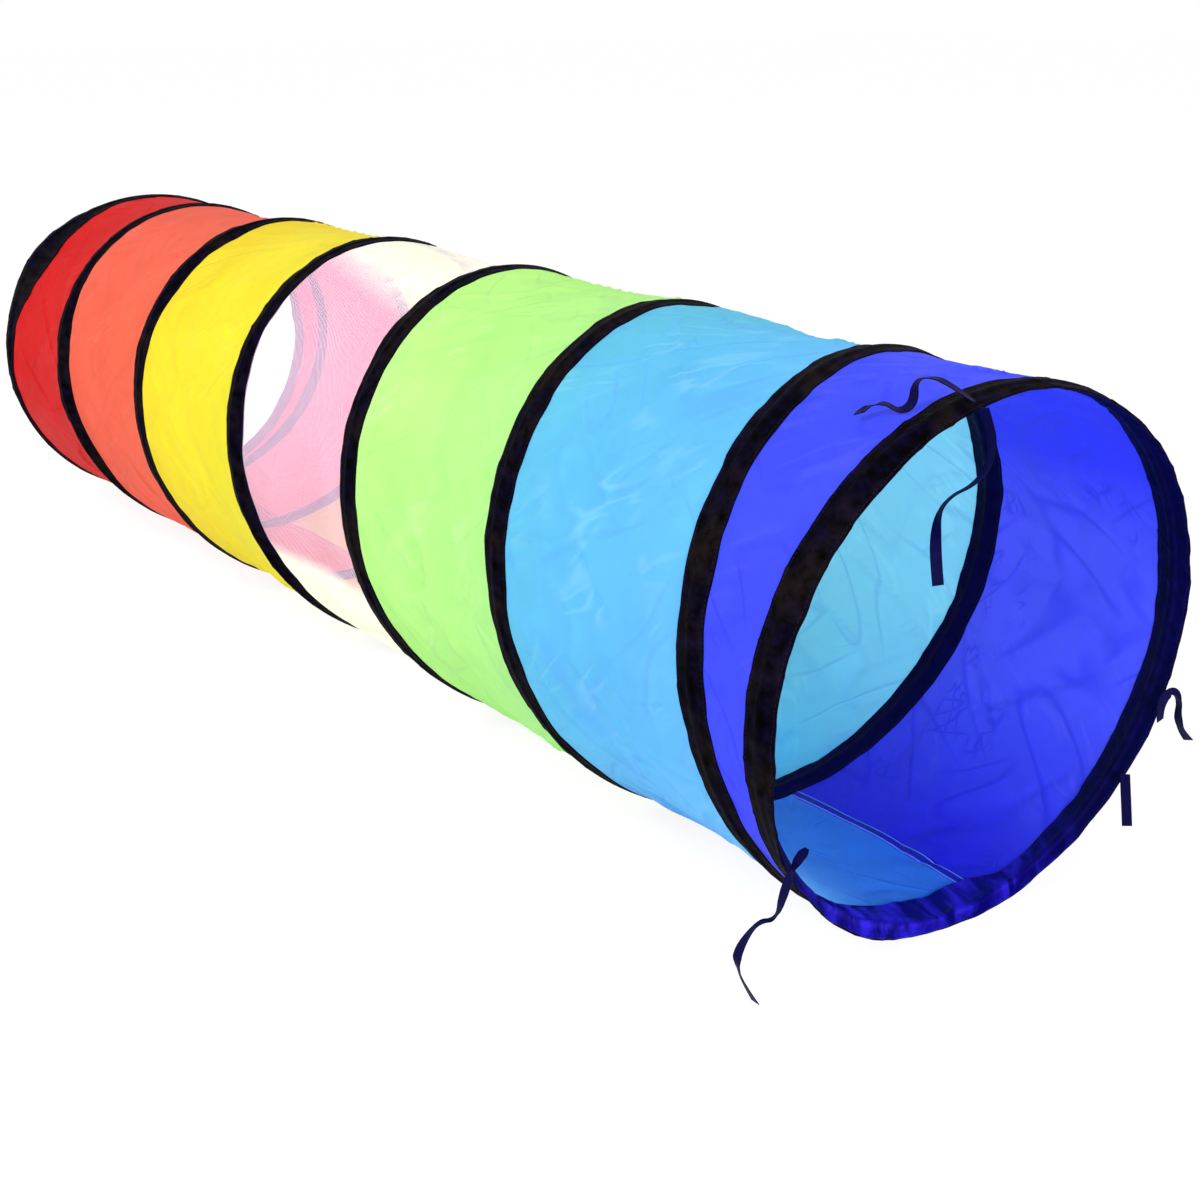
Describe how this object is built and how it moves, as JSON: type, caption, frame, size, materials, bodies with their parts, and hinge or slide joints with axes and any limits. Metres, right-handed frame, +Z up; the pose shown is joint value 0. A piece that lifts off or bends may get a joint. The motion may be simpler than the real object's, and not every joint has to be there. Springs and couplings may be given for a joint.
{
  "type": "agility tunnel",
  "caption": "Pop-up agility tunnel: spring-wire coil between two taped hoops, coloured fabric strips, a see-through mesh strip and ribbon ties.",
  "frame": {"origin": "on the floor under the middle of the tunnel", "axes": "+X along the tunnel towards the end with the ribbon ties, +Z up"},
  "size_m": [1.8707, 0.5332, 0.4925],
  "materials": {
    "spring_wire": "drawn spring steel",
    "crimp_metal": "pressed ferrule",
    "binding_tape": "woven polyester tape, slight sheen",
    "fabric_dark_blue": "coated polyester taffeta",
    "fabric_light_blue": "coated polyester taffeta",
    "fabric_green": "coated polyester taffeta",
    "fabric_mesh": "open white mesh",
    "fabric_yellow": "coated polyester taffeta",
    "fabric_orange": "coated polyester taffeta",
    "fabric_red": "coated polyester taffeta",
    "seam_binding": "narrow woven tape",
    "ribbon": "narrow grosgrain ribbon"
  },
  "bodies": {
    "near_end": {"near_hoop_wire": "spring_wire", "near_crimp": "crimp_metal", "near_hoop_sleeve": "binding_tape", "panel_dark_blue": "fabric_dark_blue", "seam_1": "seam_binding", "tie_top_inner": "ribbon", "tie_top_outer": "ribbon", "tie_lower_near": "ribbon", "tie_side_far": "ribbon", "tie_lower_far": "ribbon"},
    "turn_1": {"coil_wire_1": "spring_wire", "coil_sleeve_1": "binding_tape", "panel_light_blue": "fabric_light_blue", "seam_2": "seam_binding"},
    "turn_2": {"coil_wire_2": "spring_wire", "coil_sleeve_2": "binding_tape", "panel_green": "fabric_green", "seam_3": "seam_binding"},
    "turn_3": {"coil_wire_3": "spring_wire", "coil_sleeve_3": "binding_tape", "panel_mesh": "fabric_mesh", "seam_4": "seam_binding"},
    "turn_4": {"coil_wire_4": "spring_wire", "coil_sleeve_4": "binding_tape", "panel_yellow": "fabric_yellow", "seam_5": "seam_binding"},
    "turn_5": {"coil_wire_5": "spring_wire", "coil_sleeve_5": "binding_tape", "panel_orange": "fabric_orange", "seam_6": "seam_binding"},
    "turn_6": {"coil_wire_6": "spring_wire", "coil_sleeve_6": "binding_tape", "panel_red": "fabric_red"},
    "far_end": {"far_hoop_wire": "spring_wire", "far_crimp": "crimp_metal", "far_hoop_sleeve": "binding_tape"}
  },
  "joints": [
    {"name": "tunnel_collapse", "type": "slide", "parent": "near_end", "child": "far_end", "axis": [1, 0, 0], "range_m": [0, 1.74], "stiffness_N_per_m": 6, "springref_m": -0.35, "deforming": ["panel_dark_blue", "seam_1", "coil_wire_1", "coil_sleeve_1", "panel_light_blue", "seam_2", "coil_wire_2", "coil_sleeve_2", "panel_green", "seam_3", "coil_wire_3", "coil_sleeve_3", "panel_mesh", "seam_4", "coil_wire_4", "coil_sleeve_4", "panel_yellow", "seam_5", "coil_wire_5", "coil_sleeve_5", "panel_orange", "seam_6", "coil_wire_6", "coil_sleeve_6", "panel_red"]},
    {"name": "turn_1_slide", "type": "slide", "parent": "near_end", "child": "turn_1", "axis": [1, 0, 0], "range_m": [0, 0.146], "deforming": ["coil_wire_1", "coil_sleeve_1", "panel_light_blue", "seam_2"]},
    {"name": "turn_2_slide", "type": "slide", "parent": "near_end", "child": "turn_2", "axis": [1, 0, 0], "range_m": [0, 0.4341], "deforming": ["coil_wire_2", "coil_sleeve_2", "panel_green", "seam_3"]},
    {"name": "turn_3_slide", "type": "slide", "parent": "near_end", "child": "turn_3", "axis": [1, 0, 0], "range_m": [0, 0.7222], "deforming": ["coil_wire_3", "coil_sleeve_3", "panel_mesh", "seam_4"]},
    {"name": "turn_4_slide", "type": "slide", "parent": "near_end", "child": "turn_4", "axis": [1, 0, 0], "range_m": [0, 1.0102], "deforming": ["coil_wire_4", "coil_sleeve_4", "panel_yellow", "seam_5"]},
    {"name": "turn_5_slide", "type": "slide", "parent": "near_end", "child": "turn_5", "axis": [1, 0, 0], "range_m": [0, 1.2983], "deforming": ["coil_wire_5", "coil_sleeve_5", "panel_orange", "seam_6"]},
    {"name": "turn_6_slide", "type": "slide", "parent": "near_end", "child": "turn_6", "axis": [1, 0, 0], "range_m": [0, 1.5864], "deforming": ["coil_wire_6", "coil_sleeve_6", "panel_red"]}
  ],
  "couplings": [
    {"joint": "turn_1_slide", "follows": "tunnel_collapse", "ratio": 0.08278},
    {"joint": "turn_2_slide", "follows": "tunnel_collapse", "ratio": 0.24833},
    {"joint": "turn_3_slide", "follows": "tunnel_collapse", "ratio": 0.41389},
    {"joint": "turn_4_slide", "follows": "tunnel_collapse", "ratio": 0.57944},
    {"joint": "turn_5_slide", "follows": "tunnel_collapse", "ratio": 0.745},
    {"joint": "turn_6_slide", "follows": "tunnel_collapse", "ratio": 0.91056}
  ]
}
